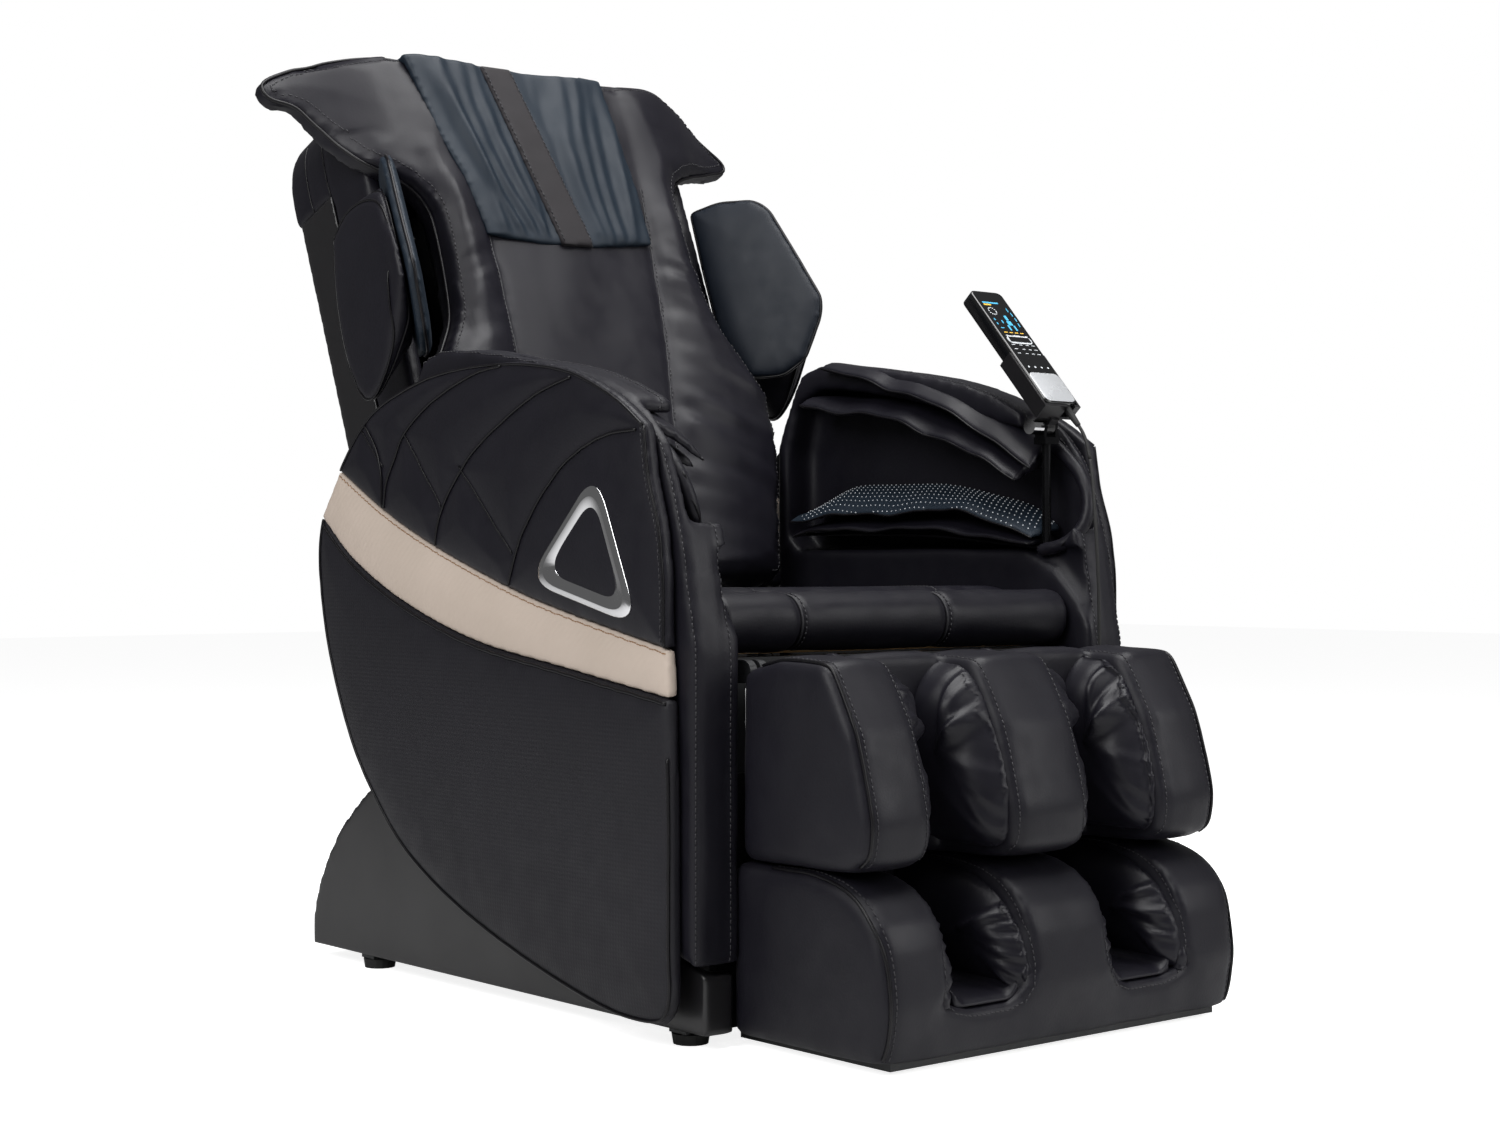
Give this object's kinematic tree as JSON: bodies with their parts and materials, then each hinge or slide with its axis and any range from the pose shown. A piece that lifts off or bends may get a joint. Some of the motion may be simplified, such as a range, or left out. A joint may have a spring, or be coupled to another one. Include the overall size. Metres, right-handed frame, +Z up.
{
  "type": "massage chair",
  "caption": "Reclining full-body massage chair: upholstered arms with hand channels, reclining back with massage unit, lifting leg rest, remote on a pole",
  "frame": {"origin": "on the floor, below the middle of the chair's length and width", "axes": "+Z up, the chair faces -Y, +X is the sitter's left"},
  "size_m": [0.816, 1.2871, 1.2443],
  "materials": {
    "leather": "satin",
    "perforated_leather": "matte",
    "cover": "satin",
    "frame": "satin",
    "bright_steel": "satin",
    "casting": "matte",
    "chrome": "gloss",
    "rubber": "matte",
    "switchgear": "matte",
    "nylon": "satin",
    "seat_board": "matte",
    "handset": "gloss"
  },
  "bodies": {
    "base": {"base_frame": "frame", "base_cover_left": "cover", "base_cover_right": "cover", "base_front_cover": "cover", "base_rear_cover": "cover", "power_inlet": "switchgear", "foot_front_left": "rubber", "foot_front_right": "rubber", "foot_rear_left": "rubber", "foot_rear_right": "rubber", "control_and_air_unit": "casting", "seat_pan": "seat_board", "seat_cushion": "leather", "seat_roll": "leather", "arm_frame_left": "leather", "arm_frame_right": "leather", "side_panel_left": "leather", "side_panel_right": "leather", "trim_ring_left": "chrome", "trim_ring_right": "chrome", "arm_upper_cushion_left": "leather", "arm_upper_cushion_right": "leather", "arm_lower_cushion_left": "perforated_leather", "arm_lower_cushion_right": "perforated_leather", "remote_pole": "bright_steel", "lead_gland": "rubber", "remote_lead": "rubber"},
    "switch": {"power_switch": "switchgear"},
    "back": {"back_frame": "frame", "back_shell": "cover", "back_surround": "leather", "back_pad": "leather", "shoulder_wing_left": "leather", "shoulder_wing_right": "leather", "shoulder_cushion_left": "perforated_leather", "shoulder_cushion_right": "perforated_leather"},
    "pillow": {"head_pillow": "perforated_leather"},
    "carriage": {"massage_carriage": "casting"},
    "screw": {"lead_screw": "bright_steel"},
    "shaft": {"kneading_shaft": "bright_steel"},
    "kneader_left": {"kneading_arm_left": "frame"},
    "kneader_right": {"kneading_arm_right": "frame"},
    "upper_roller_l": {"upper_roller_left": "nylon"},
    "upper_roller_r": {"upper_roller_right": "nylon"},
    "lower_roller_l": {"lower_roller_left": "nylon"},
    "lower_roller_r": {"lower_roller_right": "nylon"},
    "leg": {"leg_frame": "frame", "calf_rest": "leather"},
    "foot": {"foot_frame": "frame", "foot_rest": "leather"},
    "back_ram": {"back_actuator": "bright_steel"},
    "back_rod": {"back_actuator_rod": "bright_steel"},
    "leg_ram": {"leg_actuator": "bright_steel"},
    "leg_rod": {"leg_actuator_rod": "bright_steel"},
    "holder": {"remote_holder": "cover", "remote_lead_top": "rubber"},
    "knob": {"holder_knob": "chrome"},
    "handset": {"remote_body": "handset", "lead_boot": "rubber"},
    "key": {"rocker_key": "handset"}
  },
  "joints": [
    {"name": "recline", "type": "hinge", "parent": "base", "child": "back", "pos_m": [0, 0.16416, 0.4], "axis": [-1, 0, 0], "range_deg": [0, 45]},
    {"name": "leg_lift", "type": "hinge", "parent": "base", "child": "leg", "pos_m": [0, -0.39784, 0.416], "axis": [-1, 0, 0], "range_deg": [0, 80]},
    {"name": "foot_stretch", "type": "slide", "parent": "leg", "child": "foot", "axis": [0, 0, -1], "range_m": [0, 0.12], "stiffness_N_per_m": 400, "springref_m": -0.45},
    {"name": "carriage_travel", "type": "slide", "parent": "back", "child": "carriage", "axis": [0, 0.3746, 0.9272], "range_m": [-0.18, 0.16]},
    {"name": "screw_spin", "type": "hinge", "parent": "back", "child": "screw", "pos_m": [0, 0.4299, 0.72405], "axis": [0, 0.3746, 0.9272], "continuous": true},
    {"name": "kneading_spin", "type": "hinge", "parent": "carriage", "child": "shaft", "pos_m": [0, 0.3344, 0.76263], "axis": [1, 0, 0], "continuous": true},
    {"name": "kneader_rock_left", "type": "hinge", "parent": "carriage", "child": "kneader_left", "pos_m": [0.075, 0.3344, 0.76263], "axis": [1, 0, 0], "range_deg": [-10, 10], "stiffness_Nm_per_rad": 6},
    {"name": "kneader_rock_right", "type": "hinge", "parent": "carriage", "child": "kneader_right", "pos_m": [-0.075, 0.3344, 0.76263], "axis": [1, 0, 0], "range_deg": [-10, 10], "stiffness_Nm_per_rad": 6},
    {"name": "upper_roller_spin_left", "type": "hinge", "parent": "kneader_left", "child": "upper_roller_l", "pos_m": [0.054, 0.36257, 0.85371], "axis": [1, 0, 0], "continuous": true},
    {"name": "upper_roller_spin_right", "type": "hinge", "parent": "kneader_right", "child": "upper_roller_r", "pos_m": [-0.054, 0.36257, 0.85371], "axis": [1, 0, 0], "continuous": true},
    {"name": "lower_roller_spin_left", "type": "hinge", "parent": "kneader_left", "child": "lower_roller_l", "pos_m": [0.054, 0.2914, 0.67755], "axis": [1, 0, 0], "continuous": true},
    {"name": "lower_roller_spin_right", "type": "hinge", "parent": "kneader_right", "child": "lower_roller_r", "pos_m": [-0.054, 0.2914, 0.67755], "axis": [1, 0, 0], "continuous": true},
    {"name": "back_ram_turn", "type": "hinge", "parent": "base", "child": "back_ram", "pos_m": [0, 0.34416, 0.1], "axis": [1, 0, 0], "range_deg": [-5, 5]},
    {"name": "back_ram_stroke", "type": "slide", "parent": "back_ram", "child": "back_rod", "axis": [0, -0.7437, 0.6685], "range_m": [0, 0.09]},
    {"name": "leg_ram_turn", "type": "hinge", "parent": "base", "child": "leg_ram", "pos_m": [0, -0.09684, 0.247], "axis": [1, 0, 0], "range_deg": [-5, 5]},
    {"name": "leg_ram_stroke", "type": "slide", "parent": "leg_ram", "child": "leg_rod", "axis": [0, -0.9376, 0.3477], "range_m": [0, 0.085]},
    {"name": "pillow_flip", "type": "hinge", "parent": "back", "child": "pillow", "pos_m": [0, 0.45591, 1.2198], "axis": [1, 0, 0], "range_deg": [-100, 0]},
    {"name": "power_rocker", "type": "hinge", "parent": "base", "child": "switch", "pos_m": [0.18, 0.43416, 0.062], "axis": [1, 0, 0], "range_deg": [-14, 0]},
    {"name": "holder_tilt", "type": "hinge", "parent": "base", "child": "holder", "pos_m": [0.296, -0.32784, 0.712], "axis": [-1, 0, 0], "range_deg": [-30, 25], "deforming": ["remote_lead"]},
    {"name": "knob_turn", "type": "hinge", "parent": "base", "child": "knob", "pos_m": [0.296, -0.32784, 0.712], "axis": [1, 0, 0], "continuous": true},
    {"name": "handset_lift", "type": "slide", "parent": "holder", "child": "handset", "axis": [0, 0.6691, 0.7431], "range_m": [0, 0.12]},
    {"name": "rocker_key_press", "type": "slide", "parent": "handset", "child": "key", "axis": [0, 0.7431, -0.6691], "range_m": [0, 0.001], "stiffness_N_per_m": 700, "springref_m": -0.001}
  ],
  "couplings": [
    {"joint": "back_ram_turn", "follows": "recline", "ratio": 0.01},
    {"joint": "back_ram_stroke", "follows": "recline", "m_per_rad": 0.107},
    {"joint": "leg_ram_turn", "follows": "leg_lift", "ratio": 0.005},
    {"joint": "leg_ram_stroke", "follows": "leg_lift", "m_per_rad": 0.057},
    {"joint": "screw_spin", "follows": "carriage_travel", "rad_per_m": 314.16}
  ]
}
